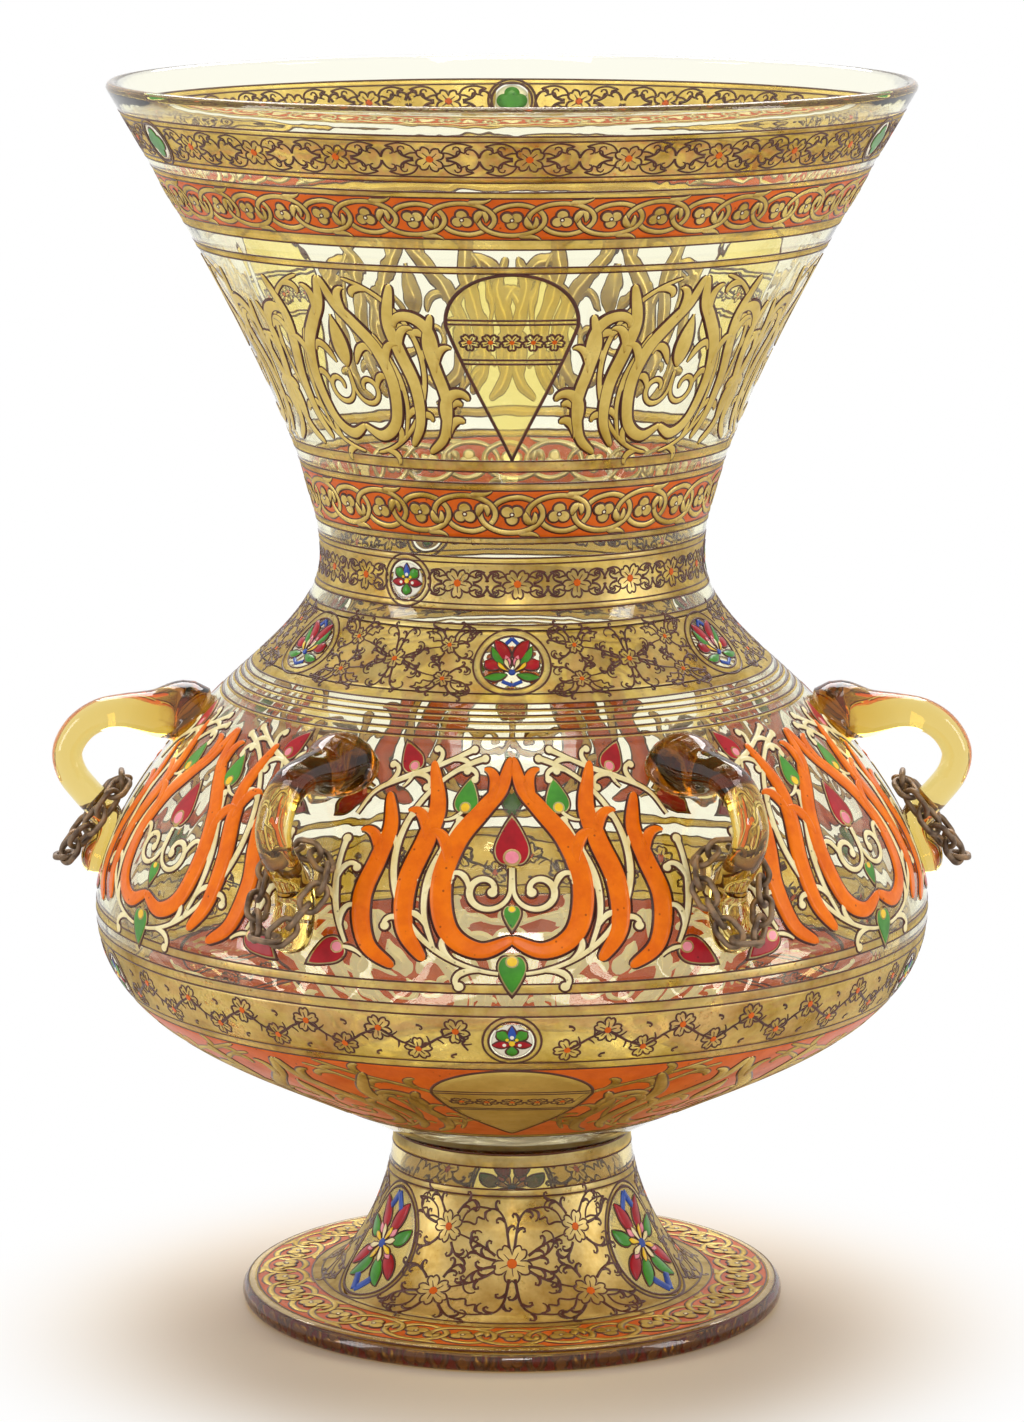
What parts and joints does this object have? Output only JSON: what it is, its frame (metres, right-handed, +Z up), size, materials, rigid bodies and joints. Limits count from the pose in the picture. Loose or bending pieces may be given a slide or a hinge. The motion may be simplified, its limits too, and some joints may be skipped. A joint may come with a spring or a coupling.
{
  "type": "mosque lamp",
  "caption": "Flared glass mosque lamp on a hollow bell foot, with drawn glass handles round its shoulder that each carry a loop of iron chain for hanging.",
  "frame": {"origin": "centre of the plane that the foot rests on", "axes": "+Z up along the vessel's axis, -Y towards the front, +X to the right; handles at every 60 degrees from +X"},
  "size_m": [0.2542, 0.2298, 0.34],
  "materials": {
    "clear_glass": "blown, glossy, faint warm tint",
    "foot_glass": "blown, glossy, amber in the thick lip",
    "handle_glass": "drawn, glossy, amber",
    "chain_iron": "brown patina",
    "gilding": "thin burnished gold",
    "enamel": "fired opaque enamel, glossy",
    "outline": "fired brown line enamel"
  },
  "bodies": {
    "root": {"vessel": "clear_glass", "foot": "foot_glass", "handle_1": "handle_glass", "handle_2": "handle_glass", "handle_3": "handle_glass", "handle_4": "handle_glass", "handle_5": "handle_glass", "handle_6": "handle_glass"},
    "chain_1_seat": {"chain_1_seat_links": "chain_iron"},
    "chain_1_sides": {"chain_1_side_links": "chain_iron"},
    "chain_1_end": {"chain_1_end_links": "chain_iron"},
    "chain_2_seat": {"chain_2_seat_links": "chain_iron"},
    "chain_2_sides": {"chain_2_side_links": "chain_iron"},
    "chain_2_end": {"chain_2_end_links": "chain_iron"},
    "chain_3_seat": {"chain_3_seat_links": "chain_iron"},
    "chain_3_sides": {"chain_3_side_links": "chain_iron"},
    "chain_3_end": {"chain_3_end_links": "chain_iron"},
    "chain_4_seat": {"chain_4_seat_links": "chain_iron"},
    "chain_4_sides": {"chain_4_side_links": "chain_iron"},
    "chain_4_end": {"chain_4_end_links": "chain_iron"},
    "chain_5_seat": {"chain_5_seat_links": "chain_iron"},
    "chain_5_sides": {"chain_5_side_links": "chain_iron"},
    "chain_5_end": {"chain_5_end_links": "chain_iron"},
    "chain_6_seat": {"chain_6_seat_links": "chain_iron"},
    "chain_6_sides": {"chain_6_side_links": "chain_iron"},
    "chain_6_end": {"chain_6_end_links": "chain_iron"}
  },
  "joints": [
    {"name": "chain_1_lift", "type": "hinge", "parent": "root", "child": "chain_1_seat", "pos_m": [-0.05287, -0.09359, 0.14702], "axis": [-0.8085, 0.5848, 0.0664], "range_deg": [0, 35]},
    {"name": "chain_1_fold", "type": "hinge", "parent": "chain_1_seat", "child": "chain_1_sides", "pos_m": [-0.05675, -0.09813, 0.13973], "axis": [-0.8085, 0.5848, 0.0664], "range_deg": [0, 18]},
    {"name": "chain_1_end_fold", "type": "hinge", "parent": "chain_1_sides", "child": "chain_1_end", "pos_m": [-0.06156, -0.10376, 0.1307], "axis": [-0.8085, 0.5848, 0.0664], "range_deg": [0, 28]},
    {"name": "chain_2_lift", "type": "hinge", "parent": "root", "child": "chain_2_seat", "pos_m": [0.05446, -0.09291, 0.14722], "axis": [-0.8993, -0.4348, 0.0475], "range_deg": [0, 35]},
    {"name": "chain_2_fold", "type": "hinge", "parent": "chain_2_seat", "child": "chain_2_sides", "pos_m": [0.05662, -0.09819, 0.13971], "axis": [-0.8993, -0.4348, 0.0475], "range_deg": [0, 18]},
    {"name": "chain_2_end_fold", "type": "hinge", "parent": "chain_2_sides", "child": "chain_2_end", "pos_m": [0.05929, -0.10472, 0.13041], "axis": [-0.8993, -0.4348, 0.0475], "range_deg": [0, 28]},
    {"name": "chain_3_lift", "type": "hinge", "parent": "root", "child": "chain_3_seat", "pos_m": [0.10757, 0.00057, 0.14714], "axis": [-0.0585, -0.9976, 0.038], "range_deg": [0, 35]},
    {"name": "chain_3_fold", "type": "hinge", "parent": "chain_3_seat", "child": "chain_3_sides", "pos_m": [0.11335, -0.00005, 0.13972], "axis": [-0.0585, -0.9976, 0.038], "range_deg": [0, 18]},
    {"name": "chain_3_end_fold", "type": "hinge", "parent": "chain_3_sides", "child": "chain_3_end", "pos_m": [0.12052, -0.00082, 0.13054], "axis": [-0.0585, -0.9976, 0.038], "range_deg": [0, 28]},
    {"name": "chain_4_lift", "type": "hinge", "parent": "root", "child": "chain_4_seat", "pos_m": [0.05443, 0.09253, 0.14693], "axis": [0.9051, -0.4213, -0.0569], "range_deg": [0, 35]},
    {"name": "chain_4_fold", "type": "hinge", "parent": "chain_4_seat", "child": "chain_4_sides", "pos_m": [0.05662, 0.09822, 0.13974], "axis": [0.9051, -0.4213, -0.0569], "range_deg": [0, 18]},
    {"name": "chain_4_end_fold", "type": "hinge", "parent": "chain_4_sides", "child": "chain_4_end", "pos_m": [0.05934, 0.10526, 0.13083], "axis": [0.9051, -0.4213, -0.0569], "range_deg": [0, 28]},
    {"name": "chain_5_lift", "type": "hinge", "parent": "root", "child": "chain_5_seat", "pos_m": [-0.05459, 0.09285, 0.14722], "axis": [0.9051, 0.4213, 0.0569], "range_deg": [0, 35]},
    {"name": "chain_5_fold", "type": "hinge", "parent": "chain_5_seat", "child": "chain_5_sides", "pos_m": [-0.05661, 0.09819, 0.13971], "axis": [0.9051, 0.4213, 0.0569], "range_deg": [0, 18]},
    {"name": "chain_5_end_fold", "type": "hinge", "parent": "chain_5_sides", "child": "chain_5_end", "pos_m": [-0.0591, 0.1048, 0.13042], "axis": [0.9051, 0.4213, 0.0569], "range_deg": [0, 28]},
    {"name": "chain_6_lift", "type": "hinge", "parent": "root", "child": "chain_6_seat", "pos_m": [-0.10757, 0.00057, 0.14714], "axis": [-0.0585, 0.9976, -0.038], "range_deg": [0, 35]},
    {"name": "chain_6_fold", "type": "hinge", "parent": "chain_6_seat", "child": "chain_6_sides", "pos_m": [-0.11335, -0.00005, 0.13972], "axis": [-0.0585, 0.9976, -0.038], "range_deg": [0, 18]},
    {"name": "chain_6_end_fold", "type": "hinge", "parent": "chain_6_sides", "child": "chain_6_end", "pos_m": [-0.12052, -0.00082, 0.13054], "axis": [-0.0585, 0.9976, -0.038], "range_deg": [0, 28]}
  ]
}
